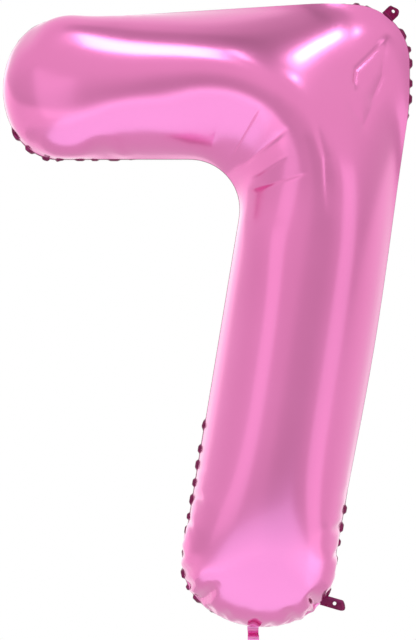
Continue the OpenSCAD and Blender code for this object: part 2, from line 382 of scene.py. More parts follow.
# Waves that close round the seam, each with its size, its count and its shift
CRIMP_DRIFT = [(1.1, 19, 0.4), (0.9, 31, 2.0), (0.6, 53, 4.1)]
FINE_CRINKLE = [(0.00022, 211, 0.3), (0.00018, 257, 1.9), (0.00016, 331, 5.1)]


def waves(t, parts, start=0):
    """start plus the waves in parts, at place t on the outline."""
    turn = 2 * math.pi * t / inflated.length
    return sum((size * np.sin(count * turn + shift) for size, count, shift in parts), start)


def crimp_phase(t):
    """Phase of the seam's crimps at place t on the outline; it drifts, so they are uneven."""
    turn = 2 * math.pi * t / inflated.length
    return waves(t, CRIMP_DRIFT, round(inflated.length / CRIMP_LENGTH) * turn)


def crimps(t, share):
    """Height of the seam's crimps out of its plane, which take up a share of the spare length."""
    spare = np.interp(t, edge_at[order], edge_spare[order], period=inflated.length)
    return share * CRIMP_LENGTH / (2 * math.pi) * np.sqrt(4 * spare) * np.sin(crimp_phase(t))


edge_wave = crimps(edge_at, CRIMP_SHARE)


def neighbour_mean(grid):
    """Mean of the four neighbours of each grid point off the grid's border."""
    return (grid[2:, 1:-1] + grid[:-2, 1:-1] + grid[1:-1, 2:] + grid[1:-1, :-2]) / 4


def filled(edge_points, rounds=3500):
    """Smooth places for the inner grid points between the given edge points."""
    grid = np.zeros((COLS + 1, ROWS + 1, 2))
    fixed = np.zeros((COLS + 1, ROWS + 1), bool)
    for (c, r), p in zip(edge, edge_points):
        grid[c, r] = p
        fixed[c, r] = True
    for r in range(1, across_cells):
        f = r / across_cells
        grid[1:arm_cells + 1, r] = (grid[1:arm_cells + 1, 0] * (1 - f)
                                    + grid[1:arm_cells + 1, across_cells] * f)
    for c in range(arm_cells + 1, COLS):
        f = (c - arm_cells) / across_cells
        left = np.where(np.arange(ROWS + 1)[:, None] > across_cells, grid[arm_cells],
                        grid[arm_cells, across_cells])
        grid[c, 1:ROWS] = left[1:ROWS] * (1 - f) + grid[COLS, 1:ROWS] * f
    free = valid & ~fixed
    for _ in range(rounds):
        mean = np.zeros_like(grid)
        mean[1:-1, 1:-1] = neighbour_mean(grid)
        grid[free] = mean[free]
    return grid, fixed


flat_grid, on_edge = filled(edge_flat)


# ---- Inflation by cloth simulation

def numbered():
    """Vertex numbers of the front and back grids, which share the seam's vertices."""
    front = -np.ones(valid.shape, int)
    back = front.copy()
    for k, (c, r) in enumerate(edge):
        front[c, r] = back[c, r] = k
    inner = np.argwhere(valid & ~on_edge)
    for k, (c, r) in enumerate(inner):
        front[c, r] = len(edge) + k
        back[c, r] = len(edge) + len(inner) + k
    return front, back, inner


front_no, back_no, inner_places = numbered()
EDGE_COUNT, INNER_COUNT = len(edge), len(inner_places)


def quads(numbers, flip):
    """The grid's faces over the numbered vertices, turned over if flip is true."""
    faces = []
    for c in range(COLS):
        rows = ROWS if c >= arm_cells else across_cells
        for r in range(rows):
            f = (numbers[c, r], numbers[c + 1, r], numbers[c + 1, r + 1], numbers[c, r + 1])
            faces.append(tuple(int(k) for k in (f[::-1] if flip else f)))
    return faces


def new_mesh(name, points, faces):
    """A new object in the scene, with this mesh."""
    mesh = bpy.data.meshes.new(name)
    mesh.from_pydata([tuple(map(float, p)) for p in points], [], faces)
    mesh.update()
    obj = bpy.data.objects.new(name, mesh)
    bpy.context.scene.collection.objects.link(obj)
    return obj


def vectors(mesh, what="co"):
    """The positions of mesh's vertices, or their normals."""
    values = np.empty(len(mesh.vertices) * 3, np.float32)
    mesh.vertices.foreach_get(what, values)
    return values.reshape(-1, 3).astype(float)


def evaluated(obj):
    """obj with its modifiers worked out."""
    return obj.evaluated_get(bpy.context.evaluated_depsgraph_get())


def inflate():
    """Fills the two flat sheets with gas while their seam is drawn in to the inflated outline."""
    slack = 0.001
    inner = flat_grid[inner_places[:, 0], inner_places[:, 1]]
    points = np.zeros((EDGE_COUNT + 2 * INNER_COUNT, 3))
    points[:EDGE_COUNT, [0, 2]] = edge_flat
    points[EDGE_COUNT:, [0, 2]] = np.vstack([inner, inner])
    points[EDGE_COUNT:EDGE_COUNT + INNER_COUNT, 1] = -slack
    points[EDGE_COUNT + INNER_COUNT:, 1] = slack
    obj = new_mesh("inflating", points, quads(front_no, True) + quads(back_no, False))

    obj.shape_key_add(name="Basis")
    drawn = obj.shape_key_add(name="drawn")
    goal = points.copy()
    goal[:EDGE_COUNT, [0, 2]] = edge_full
    goal[:EDGE_COUNT, 1] = edge_wave
    drawn.data.foreach_set("co", goal.astype(np.float32).ravel())
    drawn.value = 0.0
    drawn.keyframe_insert("value", frame=1)
    drawn.value = 1.0
    drawn.keyframe_insert("value", frame=DRAW_IN_FRAMES)

    seam_group = obj.vertex_groups.new(name="seam")
    seam_group.add(list(range(EDGE_COUNT)), 1.0, "REPLACE")
    cloth = obj.modifiers.new("gas", "CLOTH")
    cloth.settings.vertex_group_mass = "seam"
    cloth.settings.quality = 6
    cloth.settings.mass = 0.3
    cloth.settings.tension_stiffness = STRETCH
    cloth.settings.compression_stiffness = STRETCH
    cloth.settings.shear_stiffness = SHEAR
    cloth.settings.bending_model = "ANGULAR"
    cloth.settings.bending_stiffness = BEND
    cloth.settings.tension_damping = 5
    cloth.settings.compression_damping = 5
    cloth.settings.shear_damping = 5
    cloth.settings.bending_damping = 0.5
    cloth.settings.air_damping = 2
    cloth.settings.use_pressure = True
    cloth.settings.uniform_pressure_force = PRESSURE
    cloth.settings.effector_weights.gravity = 0
    cloth.collision_settings.use_collision = False
    cloth.collision_settings.use_self_collision = False
    cloth.point_cache.frame_start = 1
    cloth.point_cache.frame_end = SIM_FRAMES

    for step in range(1, SIM_FRAMES + 1):
        bpy.context.scene.frame_set(step)
    result = vectors(evaluated(obj).data)
    bpy.context.scene.frame_set(1)
    bpy.data.objects.remove(obj)
    return result


shape = inflate()


# ---- Foil panels

def applied(obj):
    """Replaces obj's mesh by what its modifiers make of it."""
    mesh = bpy.data.meshes.new_from_object(evaluated(obj))
    obj.modifiers.clear()
    obj.data = mesh
    mesh.shade_smooth()
    return obj


def thickened(obj, thickness):
    """Gives obj's surface a thickness, half of it on either side."""
    plies = obj.modifiers.new("plies", "SOLIDIFY")
    plies.thickness = thickness
    plies.offset = 0
    return applied(obj)


def ring_faces(rows, n):
    """Quads between rows + 1 closed rings of n points each."""
    return [(j * n + i, j * n + (i + 1) % n, (j + 1) * n + (i + 1) % n, (j + 1) * n + i)
            for j in range(rows) for i in range(n)]


def sheet_faces(rows, m):
    """Quads between rows + 1 open lines of m points each."""
    return [(k * m + i, k * m + i + 1, (k + 1) * m + i + 1, (k + 1) * m + i)
            for k in range(rows) for i in range(m - 1)]


class InnerSeam:
    """Coordinates that follow the inner seam: distance away from it and place along it."""

    def __init__(self, centre, radius, arm_dir, turn):
        self.centre, self.radius, self.arm_dir, self.turn = centre, radius, arm_dir, turn
        self.start = math.atan2(arm_dir[0], -arm_dir[1])
        end = self.start - turn
        self.stem_dir = np.array([math.sin(end), -math.cos(end)])
        self.middle = BEND_SCALE * turn / 2

    def place(self, p):
        """Distance of points p away from the seam, and their place along it."""
        d = p - self.centre
        angle = self.start - np.arctan2(d[:, 1], d[:, 0])
        away, along = np.hypot(d[:, 0], d[:, 1]), BEND_SCALE * angle
        in_arm = d @ self.arm_dir < 0
        in_stem = ~in_arm & (d @ self.stem_dir > 0)
        away = np.where(in_arm, d @ left_of(self.arm_dir),
                        np.where(in_stem, d @ left_of(self.stem_dir), away))
        along = np.where(in_arm, d @ self.arm_dir,
                         np.where(in_stem, BEND_SCALE * self.turn + d @ self.stem_dir, along))
        return away - self.radius, along - self.middle

    def point(self, away, along):
        """The point at one distance away from the seam and one place along it."""
        along, away = along + self.middle, away + self.radius
        if along < 0:
            return self.centre + self.arm_dir * along + left_of(self.arm_dir) * away
        if along > BEND_SCALE * self.turn:
            past = along - BEND_SCALE * self.turn
            return self.centre + self.stem_dir * past + left_of(self.stem_dir) * away
        angle = self.start - along / BEND_SCALE
        return self.centre + away * np.array([math.cos(angle), math.sin(angle)])


full_seam = InnerSeam(inner_centre, INNER_RADIUS, under_dir, inner_turn)
flat_under, flat_dir = opened_line(arm_under - left_of(under_dir) * arm_grow, under_dir)
flat_centre = meet(flat_under - left_of(flat_dir) * FLAT_RADII["inner"], flat_dir,
                   stem_edge + stem_across * (stem_grow + FLAT_RADII["inner"]), stem_dir)
flat_seam = InnerSeam(flat_centre, FLAT_RADII["inner"], flat_dir, flat_inner_turn)


def ironed(points):
    """Irons the simulated folds round the inner corner out of one panel's points.

    Each point takes the place that its neighbours along the seam agree on, by a local fit over
    the flat cut that is straight along the seam and curved away from it."""
    places = np.argwhere(valid)
    numbers = front_no[places[:, 0], places[:, 1]]
    flat_away, flat_along = flat_seam.place(flat_grid[places[:, 0], places[:, 1]])
    away, along = full_seam.place(points[numbers][:, [0, 2]])
    goal = np.stack([away, along, points[numbers][:, 1]], 1)
    share = (ease((IRON_REACH[1] - flat_away) / IRON_FADE)
             * ease((IRON_REACH[0] - np.abs(flat_along)) / IRON_FADE))
    share[on_edge[places[:, 0], places[:, 1]]] = 0
    out = points.copy()
    for k in np.flatnonzero(share > 0):
        d, t = flat_away - flat_away[k], flat_along - flat_along[k]
        close = (np.abs(d) < 2.5 * IRON_KERNEL[0]) & (np.abs(t) < 2.5 * IRON_KERNEL[1])
        d, t = d[close], t[close]
        near = np.exp(-(d / IRON_KERNEL[0]) ** 2 - (t / IRON_KERNEL[1]) ** 2)
        basis = np.stack([np.ones(len(d)), d, t, d * d], 1)
        fit = np.linalg.solve(basis.T @ (basis * near[:, None]),
                              basis.T @ (goal[close] * near[:, None]))
        x, z = full_seam.point(fit[0, 0], fit[0, 1])
        here = points[numbers[k]]
        out[numbers[k]] = here + share[k] * (np.array([x, fit[0, 2], z]) - here)
    return out


def calmed(points):
    """Softens the short folds on the arm's end without shrinking its round shape."""
    grid = np.zeros((COLS + 1, ROWS + 1, 3))
    places = np.argwhere(valid)
    numbers = front_no[places[:, 0], places[:, 1]]
    grid[places[:, 0], places[:, 1]] = points[numbers]
    weight = np.zeros(valid.shape)
    inside = arm_tip[0] + CALM_REACH - points[numbers][:, 0]
    weight[places[:, 0], places[:, 1]] = ease(inside / CALM_FADE)
    weight[on_edge] = 0
    for round_no in range(CALM_ROUNDS):
        mean = grid.copy()
        mean[1:-1, 1:-1] = neighbour_mean(grid)
        grid += weight[..., None] * (mean - grid) * CALM_STEPS[round_no % 2]
    out = points.copy()
    out[numbers] = grid[places[:, 0], places[:, 1]]
    return out


def beside(p, line):
    """Distance of points p from a polyline, positive on its left, and their share along it."""
    best = np.full(len(p), np.inf)
    side, share = np.zeros(len(p)), np.zeros(len(p))
    steps = np.linalg.norm(np.diff(line, axis=0), axis=1)
    run = np.concatenate([[0], np.cumsum(steps)])
    for k in range(len(line) - 1):
        a, u = line[k], unit(line[k + 1] - line[k])
        t = (p - a) @ u
        held = np.clip(t, 0, steps[k])
        gap = np.linalg.norm(p - a - held[:, None] * u, axis=1)
        before, past = (t < 0) & (k == 0), (t > steps[k]) & (k == len(line) - 2)
        reach = np.where(before | past, t, held)
        closer = gap < best
        best = np.where(closer, gap, best)
        side = np.where(closer, np.sign(u[0] * (p - a)[:, 1] - u[1] * (p - a)[:, 0]), side)
        share = np.where(closer, (run[k] + reach) / run[-1], share)
    return best * np.where(side == 0, 1, side), share


def pleat(p, line, height, left, right, ends=0.25):
    """A ridge along the line that falls off over a width on its left and another on its right."""
    gap, share = beside(p, np.array(line))
    fade = ease(share / ends) * ease((1 - share) / ends)
    return height * fade * np.where(gap > 0, np.exp(-gap / left), np.exp(gap / right))


def round_inner(angle, radius):
    """A point at this angle in degrees and distance from the inner bend's centre."""
    a = math.radians(angle)
    return inner_centre + radius * np.array([math.cos(a), math.sin(a)])


# Grooves that fan out from the inner corner: the angle of each end about the inner bend's centre
# in degrees, the distance of each end from it, then the groove's height and its width either side
CORNER_CREASES = [
    ((70, 70), (0.088, 0.155), -0.0009, (0.006, 0.0030)),
    ((51, 55), (0.082, 0.170), -0.0013, (0.006, 0.0018)),
    ((38, 38), (0.082, 0.176), -0.0014, (0.006, 0.0018)),
    ((26, 27), (0.092, 0.155), -0.0008, (0.005, 0.0025)),
    ((16, 16), (0.082, 0.172), -0.0013, (0.006, 0.0018)),
]
# Folds of the buckle below the shoulder: their lines in millimetres from the shoulder's sharp
# corner, then height, width either side and the share of the length over which the ends fade
SHOULDER_FOLDS = [
    ([(-26, -38), (-76, -88), (-80, -125)], -0.0040, (0.009, 0.004), 0.22),
    ([(-31, -34), (-36, -96), (-58, -146)], -0.0042, (0.005, 0.010), 0.22),
    ([(-98, -124), (-66, -168), (-44, -120)], -0.0022, (0.009, 0.009), 0.30),
    ([(-136, -140), (-131, -180), (-122, -215), (-118, -300)], -0.0030, (0.012, 0.004), 0.35),
]


def corner_creases(p):
    """Short creases that fan out from the inner corner, where the spare foil gathers."""
    return sum(pleat(p, [round_inner(a, r) for a, r in zip(angles, radii)], height, *widths)
               for angles, radii, height, widths in CORNER_CREASES)


def shoulder_buckle(p):
    """The V-shaped buckle where the stem's swelling meets the shoulder, and the fold below it."""
    return sum(pleat(p, [shoulder + np.array(q) / 1000 for q in line], height, *widths, ends)
               for line, height, widths, ends in SHOULDER_FOLDS)


def panel(name, back):
    """The front foil, or the back foil when back is 1, cut out of the inflated shape."""
    first = EDGE_COUNT + back * INNER_COUNT
    points = calmed(ironed(np.vstack([shape[:EDGE_COUNT], shape[first:first + INNER_COUNT]])))
    points[:, 1] += SEAM_Y
    obj = new_mesh(name, points, quads(front_no, not back))
    obj.modifiers.new("smooth", "SUBSURF").levels = SMOOTH_LEVELS
    applied(obj)
    mesh = obj.data
    co, normal = vectors(mesh), vectors(mesh, "normal")
    plane = co[:, [0, 2]]
    lift = corner_creases(plane)
    if not back:
        lift += shoulder_buckle(plane)
    co += normal * lift[:, None]
    mesh.vertices.foreach_set("co", co.astype(np.float32).ravel())
    mesh.update()
    return obj


def rim(mesh):
    """Points round the mesh's open edge, clockwise from the front."""
    used = {}
    for poly in mesh.polygons:
        for key in poly.edge_keys:
            used[key] = used.get(key, 0) + 1
    linked = {}
    for (a, b), count in used.items():
        if count == 1:
            linked.setdefault(a, []).append(b)
            linked.setdefault(b, []).append(a)
    start = min(linked)
    ring, here, last = [start], linked[start][0], start
    while here != start:
        ring.append(here)
        ahead = [v for v in linked[here] if v != last][0]
        last, here = here, ahead
    points = vectors(mesh)[ring]
    area = np.sum(cross2(points[:, [0, 2]].T, np.roll(points, -1, 0)[:, [0, 2]].T))
    return points if area < 0 else points[::-1]


front_foil = panel("front_foil", 0)
back_foil = panel("back_foil", 1)
ring = rim(front_foil.data)


# ---- Heat-sealed edge strip

def tab_frame(angle, tilt):
    """Directions along the tab in the seam plane, across it, and its fold's tilt."""
    a = math.radians(angle)
    return (np.array([math.cos(a), 0, math.sin(a)]), np.array([-math.sin(a), 0, math.cos(a)]),
            math.radians(tilt))


JOINTS = {joint["child"]: joint for joint in frame["joints"]}


def fold_point(body):
    """Where body's joint to the balloon sits."""
    return np.array(JOINTS[body]["pos_m"])


TOP_TAB = dict(body="shoulder_tab", angle=42, tilt=45, width=0.0185, length=0.0200, hole=0.011)
FOOT_TAB = dict(body="foot_strip", angle=-15, tilt=15, width=0.0150, length=0.0310, hole=0.014)
NECK_WIDTH = 0.0159
PRINT_WIDTH = NECK_WIDTH * 0.7
PRINT_SHARE = 0.42            # how far down the neck the release print goes
HOLE_RADIUS = 0.0025

FOLDED_BACK = math.radians(84)
UNFOLDING = 0.80              # how far a crimp stands out from there, in radians
CRIMP_PACE = 0.8              # crimps of the strip for each crimp of the seam
STRIP_ROWS = 4
SHOWN_FADE = 0.02             # length over which it goes from folded back to standing out
TAB_REACH = 0.02              # the strip stops within a tab's width, this close to its fold
# Where the sealed edge stands out instead of lying folded back: middle, reach either way, share
SHOWN_SEAM = [
    (arm_middle + [-0.036, -0.086], 0.050, 1.0),
    (arm_under + [0.050, 0], 0.060, 0.45),
    (crown + [0.045, 0], 0.026, 0.6),
    (shoulder + [0, -0.080], 0.080, 1.0),
    (foot_point(-30), 0.085, 0.9),
    (foot_point(145), 0.050, 1.0),
    (foot_point(180) - stem_dir * 0.095, 0.105, 0.85),
]


def edge_strip():
    """The two plies welded together outside the bulge, folded back here and crimped there.

    Where it is shown, each crimp's peak stands out the most."""
    dense = np.empty((2 * len(ring), 3))
    dense[0::2] = ring
    dense[1::2] = (ring + np.roll(ring, -1, 0)) / 2
    s = np.array([inflated.nearest(p) for p in dense[:, [0, 2]]])
    tangent = inflated.at(s + SEAM_WIDTH) - inflated.at(s - SEAM_WIDTH)
    out = np.stack([-tangent[:, 1], tangent[:, 0]], 1)
    out /= np.linalg.norm(out, axis=1)[:, None]
    turn = np.mod(s, inflated.length)
    shown = np.zeros(len(turn))
    for place, reach, strength in SHOWN_SEAM:
        d = np.mod(turn - inflated.nearest(place) + inflated.length / 2, inflated.length)
        away = np.abs(d - inflated.length / 2)
        shown = np.maximum(shown, strength * ease((reach - away) / SHOWN_FADE))
    peak = 0.5 + 0.5 * np.sin(crimp_phase(turn) * CRIMP_PACE + 0.7)
    lean = FOLDED_BACK - shown * (0.15 + 0.85 * ease(peak * 1.6 - 0.4)) * UNFOLDING
    tall = crimps(turn, EDGE_SHARE)
    fine = waves(turn, FINE_CRINKLE)
    rows = []
    for t in np.linspace(0, 1, STRIP_ROWS + 1):
        p = dense.copy()
        p[:, [0, 2]] += out * (SEAM_WIDTH * t * np.cos(lean))[:, None]
        p[:, 1] += SEAM_WIDTH * t * np.sin(lean) + tall * t + fine * min(1, 2 * t)
        rows.append(p)
    n = len(dense)
    gap = np.zeros(n, bool)
    for tab in (TOP_TAB, FOOT_TAB):
        along, across, _ = tab_frame(tab["angle"], 0)
        d = dense - fold_point(tab["body"])
        gap |= (np.abs(d @ across) < tab["width"] / 2) & (np.abs(d @ along) < TAB_REACH)
    d = dense - fold_point("neck")
    gap |= (np.abs(d[:, 0]) < NECK_WIDTH / 2) & (np.abs(d[:, 2]) < TAB_REACH)
    faces = [face for face in ring_faces(STRIP_ROWS, n)
             if not (gap[face[0] % n] and gap[face[1] % n])]
    return thickened(new_mesh("sealed_edge", np.vstack(rows), faces), PLIES)


# ---- Hanging tabs

def tab_outline(tab, inset, angles):
    """Distance from the hole's centre to the tab's edge in each direction."""
    centre = tab["length"] - tab["width"] / 2
    near, far = np.zeros(len(angles)), np.full(len(angles), 0.06)
    for _ in range(40):
        mid = (near + far) / 2
        u, v = tab["hole"] + mid * np.cos(angles), mid * np.sin(angles)
        inside = ((u >= inset) & (np.abs(v) <= tab["width"] / 2)
                  & ((u <= centre) | (np.hypot(u - centre, v) <= tab["width"] / 2)))
        near, far = np.where(inside, mid, near), np.where(inside, far, mid)
    return near


def hanging_tab(name, tab, inset, curl, cup, twist):
    """A punched tab: rings of quads from its hole to its edge, bent at the fold and curled.

    It starts inset metres from the fold. Past the hole it curls and twists by these angles, and
    its sides are cupped by this height."""
    corner = math.atan2(tab["width"] / 2, inset - tab["hole"])
    angles = np.linspace(-math.pi, math.pi, 96, endpoint=False)
    for a in (corner, -corner):
        angles[np.argmin(np.abs(angles - a))] = a
    reach = tab_outline(tab, inset, angles)
    share = np.linspace(0, 1, 12) ** 1.2
    radius = HOLE_RADIUS + (reach - HOLE_RADIUS)[None, :] * share[:, None]
    u = tab["hole"] + radius * np.cos(angles)
    v = radius * np.sin(angles)

    along, across, tilt = tab_frame(tab["angle"], tab["tilt"])
    steps = np.linspace(inset, tab["length"], 400)
    start = tab["hole"] + 0.0035
    heading = (tilt * ease((steps + 0.002) / 0.004)
               + curl * ease((steps - start) / (tab["length"] - start)))
    step = steps[1] - steps[0]
    ahead = np.concatenate([[0], np.cumsum(np.cos((heading[1:] + heading[:-1]) / 2) * step)])
    forward = np.concatenate([[0], np.cumsum(np.sin((heading[1:] + heading[:-1]) / 2) * step)])
    ahead += tab["hole"] * math.cos(tilt) - np.interp(tab["hole"], steps, ahead)
    forward += tab["hole"] * math.sin(tilt) - np.interp(tab["hole"], steps, forward)
    h = np.interp(u, steps, heading)
    roll = twist * ease((u - start) / (tab["length"] - start))
    rise = cup * (v / (tab["width"] / 2)) ** 2 * ease((u + 0.001) / 0.006) + v * np.sin(roll)
    v = v * np.cos(roll)
    front = np.array([0.0, -1.0, 0.0])
    spot = (fold_point(tab["body"])
            + (np.interp(u, steps, ahead) - rise * np.sin(h))[..., None] * along
            + (np.interp(u, steps, forward) + rise * np.cos(h))[..., None] * front
            + v[..., None] * across)
    faces = ring_faces(len(share) - 1, len(angles))
    obj = thickened(new_mesh(name, spot.reshape(-1, 3), faces), TAB_THICKNESS)
    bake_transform(obj)
    return obj


# ---- Inflation neck

# Middle line of the curled neck from its root, as forward and downward distances in millimetres
NECK_LINE = [(0, -1.6), (0, 3), (1.9, 7.6), (6.5, 9.5), (10.9, 12.0), (10.9, 17.0), (7.8, 19.6),
             (4.8, 19.6)]


def spline(points, steps):
    """A smooth curve through the points: steps points for each stretch, and the last point."""
    p = np.array(points, float)
    p = np.vstack([2 * p[0] - p[1], p, 2 * p[-1] - p[-2]])
    out = []
    for k in range(1, len(p) - 2):
        t = np.linspace(0, 1, steps, endpoint=False)[:, None]
        a, b, c, d = p[k - 1], p[k], p[k + 1], p[k + 2]
        out.append(0.5 * (2 * b + (c - a) * t + (2 * a - 5 * b + 4 * c - d) * t ** 2
                          + (3 * b - a - 3 * c + d) * t ** 3))
    return np.vstack(out + [p[-2:-1]])


def neck_ply(name, side, width, share):
    """One film of the neck: side is -1 towards the front, 0 between the plies and 1 behind."""
    line = spline(NECK_LINE, 6) / 1000
    line = line[:int(len(line) * share)]
    ahead = np.gradient(line, axis=0)
    ahead /= np.linalg.norm(ahead, axis=1)[:, None]
    normal = np.stack([-ahead[:, 1], ahead[:, 0]], 1)
    part = np.linspace(0, 1, len(line))
    across = np.linspace(-1, 1, 15)
    root = fold_point("neck")
    points = []
    for k, (p, n, t) in enumerate(zip(line, normal, part)):
        spread = side * (0.00025 + 0.0009 * t ** 2)
        ripple = 0.0004 * math.sin(9 * t + side) * t
        for a in across:
            off = (spread * (1 - 0.5 * a ** 4) + ripple * math.sin(4 * a + 2 * t)
                   + 0.0005 * t * side * math.cos(3.1 * a))
            half = width / 2 * (1 - 0.05 * math.sin(5 * t) ** 2 - 0.04 * t * (side == 1))
            forward, down = p + n * off
            points.append((root[0] + half * a + 0.0007 * t * math.sin(3 * t), root[1] - forward,
                           root[2] - down))
    obj = thickened(new_mesh(name, points, sheet_faces(len(line) - 1, len(across))), NECK_FILM)
    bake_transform(obj)
    return obj


# ---- Self-sealing valve inside the foot of the stem

VALVE_WIDTH = 0.028
VALVE_LENGTH = 0.150
VALVE_SEAL = 0.003
VALVE_START = 0.002           # how far above its joint the valve starts


def valve_sheet(name, side, low, high):
    """A flat film inside the stem, between low and high across the valve, slightly rippled."""
    foot, up = fold_point("valve"), np.array([-stem_dir[0], 0, -stem_dir[1]])
    right = np.array([-stem_across[0], 0, -stem_across[1]])
    steps = np.linspace(VALVE_START, VALVE_START + VALVE_LENGTH, 61)
    across = np.linspace(low, high, 13)
    points = []
    for t in steps:
        for a in across:
            puff = max(0.0, 1 - (a / (VALVE_WIDTH / 2 - VALVE_SEAL)) ** 2)
            swell = side * (0.00015 + 0.0006 * puff
                            * math.sin(math.pi * (t - VALVE_START) / VALVE_LENGTH))
            ripple = 0.00025 * puff * math.sin(260 * t + 90 * a)
            points.append(foot + up * t + right * a + np.array([0, swell + ripple, 0]))
    obj = new_mesh(name, points, sheet_faces(len(steps) - 1, len(across)))
    obj.data.shade_smooth()
    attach(obj, "valve")
    return obj


# ---- Materials

COAT_ROUGHNESS = 0.06
GRAIN_SCALE = 220.0
GRAIN_DEPTH = 0.0005


def material(name, colours, metallic, roughness, scale, coat=0.0, bump=0.0, alpha=1.0):
    """A procedural surface: noise shifts its colour between two tones, and its roughness too.

    scale is the noise's own scale, and bump the strength of a fine grain."""
    mat = bpy.data.materials.new(name)
    mat.use_nodes = True
    nodes, links = mat.node_tree.nodes, mat.node_tree.links
    surface = nodes["Principled BSDF"]
    surface.inputs["Metallic"].default_value = metallic
    surface.inputs["Coat Weight"].default_value = coat
    surface.inputs["Coat Roughness"].default_value = COAT_ROUGHNESS
    surface.inputs["Alpha"].default_value = alpha
    place = nodes.new("ShaderNodeTexCoord")
    noise = nodes.new("ShaderNodeTexNoise")
    noise.inputs["Scale"].default_value = scale
    noise.inputs["Detail"].default_value = 3.0
    links.new(place.outputs["Object"], noise.inputs["Vector"])
    tone = nodes.new("ShaderNodeMix")
    tone.data_type = "RGBA"
    tone.inputs["A"].default_value = (*colours[0], 1)
    tone.inputs["B"].default_value = (*colours[1], 1)
    links.new(noise.outputs["Fac"], tone.inputs["Factor"])
    links.new(tone.outputs["Result"], surface.inputs["Base Color"])
    gloss = nodes.new("ShaderNodeMapRange")
    gloss.inputs["To Min"].default_value = roughness[0]
    gloss.inputs["To Max"].default_value = roughness[1]
    links.new(noise.outputs["Fac"], gloss.inputs["Value"])
    links.new(gloss.outputs["Result"], surface.inputs["Roughness"])
    if bump:
        grain = nodes.new("ShaderNodeTexNoise")
        grain.inputs["Scale"].default_value = GRAIN_SCALE
        grain.inputs["Detail"].default_value = 2.0
        links.new(place.outputs["Object"], grain.inputs["Vector"])
        relief = nodes.new("ShaderNodeBump")
        relief.inputs["Strength"].default_value = bump
        relief.inputs["Distance"].default_value = GRAIN_DEPTH
        links.new(grain.outputs["Fac"], relief.inputs["Height"])
        links.new(relief.outputs["Normal"], surface.inputs["Normal"])
    return mat


pink_foil = material("pink_foil", [(0.765, 0.196, 0.462), (0.82, 0.230, 0.52)], 1.0,
                     (0.17, 0.27), 6.0, coat=0.3, bump=0.03)
# The sealed strip and the tabs are the same pink foil as the panels; this near-black maroon is
# painted shade and painted reflection of pink on pink in the folded seam
sealed_foil = material("sealed_foil", [(0.09, 0.003, 0.030), (0.27, 0.020, 0.11)], 1.0,
                       (0.18, 0.34), 90.0, coat=0.2, bump=0.10)
release_print = material("release_print", [(0.60, 0.60, 0.64), (0.72, 0.72, 0.76)], 0.0,
                         (0.45, 0.60), 300.0)
valve_film = material("valve_film", [(0.86, 0.88, 0.92), (0.92, 0.93, 0.96)], 0.0,
                      (0.20, 0.32), 60.0, alpha=0.45)


# ---- Assembly

for foil, node in ((front_foil, "front_panel"), (back_foil, "back_panel")):
    foil.data.materials.append(pink_foil)
    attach(foil, "balloon")
    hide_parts(node)

strip = edge_strip()
# The strip's near-black maroon foil is painted shade and painted reflection
strip.data.materials.append(sealed_foil)
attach(strip, "balloon")
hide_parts("seam_band")


def dress(obj, surface, node):
    """Gives obj its material and hides the CAD node that it stands in for."""
    obj.data.materials.append(surface)
    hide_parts(node)


# The tabs take the same near-black maroon foil: painted shade and painted reflection
dress(hanging_tab("shoulder_hanging_tab", TOP_TAB, inset=-0.0040, curl=0.5, cup=0.0012,
                  twist=0.35), sealed_foil, "top_tab")
dress(hanging_tab("foot_hanging_tab", FOOT_TAB, inset=-0.0055, curl=-1.1, cup=0.0010,
                  twist=-0.5), sealed_foil, "foot_tab")

dress(neck_ply("neck_front_ply", -1, NECK_WIDTH, 1.0), pink_foil, "neck_front_film")
dress(neck_ply("neck_back_ply", 1, NECK_WIDTH, 1.0), pink_foil, "neck_back_film")
dress(neck_ply("neck_release_print", 0, PRINT_WIDTH, PRINT_SHARE),
      release_print, "neck_release_coating")

half = VALVE_WIDTH / 2
dress(valve_sheet("valve_front_sheet", -1, -half, half), valve_film, "valve_front_film")
dress(valve_sheet("valve_back_sheet", 1, -half, half), valve_film, "valve_back_film")
dress(valve_sheet("valve_side_seal_left", 0, -half, -half + VALVE_SEAL), valve_film,
      "valve_side_seals")
dress(valve_sheet("valve_side_seal_right", 0, half - VALVE_SEAL, half), valve_film,
      "valve_side_seals")


# ---- Floor, light and camera

FLOOR_Z = -2.0
FLOOR_RADIUS = 2.3
FIGURE_MIDDLE = Vector((-0.2589, SEAM_Y, -0.4313))


def disc(name, radius, z, steps=96):
    """A flat round plate below the figure."""
    x = FIGURE_MIDDLE.x
    points = [(x, 0, z)] + [(x + radius * math.cos(t), radius * math.sin(t), z)
                            for t in np.linspace(0, 2 * math.pi, steps, endpoint=False)]
    faces = [(0, k + 1, (k + 1) % steps + 1) for k in range(steps)]
    return new_mesh(name, points, faces)


floor = disc("floor", FLOOR_RADIUS, FLOOR_Z)
floor.data.materials.append(material("pale_floor", [(0.86, 0.86, 0.86), (0.90, 0.90, 0.90)], 0.0,
                                     (0.6, 0.7), 2.0))


def softbox(name, azimuth, elevation, distance, size, power, colour, target):
    """A light panel aimed at target: azimuth 0 is the camera's side, 90 the reader's right."""
    a, e = math.radians(azimuth), math.radians(elevation)
    back = Vector((math.sin(a) * math.cos(e), -math.cos(a) * math.cos(e), math.sin(e)))
    light = bpy.data.lights.new(name, "AREA")
    light.shape = "RECTANGLE"
    light.size, light.size_y = size
    light.energy = power
    light.color = colour
    obj = bpy.data.objects.new(name, light)
    obj.location = Vector(target) + back * distance
    obj.rotation_euler = back.to_track_quat("Z", "Y").to_euler()
    bpy.context.scene.collection.objects.link(obj)


STEM_SPOT = (-0.20, SEAM_Y, -0.50)
UNDER_SPOT = FIGURE_MIDDLE + Vector((0, -1.0, -0.8))
COOL = (0.88, 1.0, 1.0)
COOLER = (0.62, 0.96, 1.0)
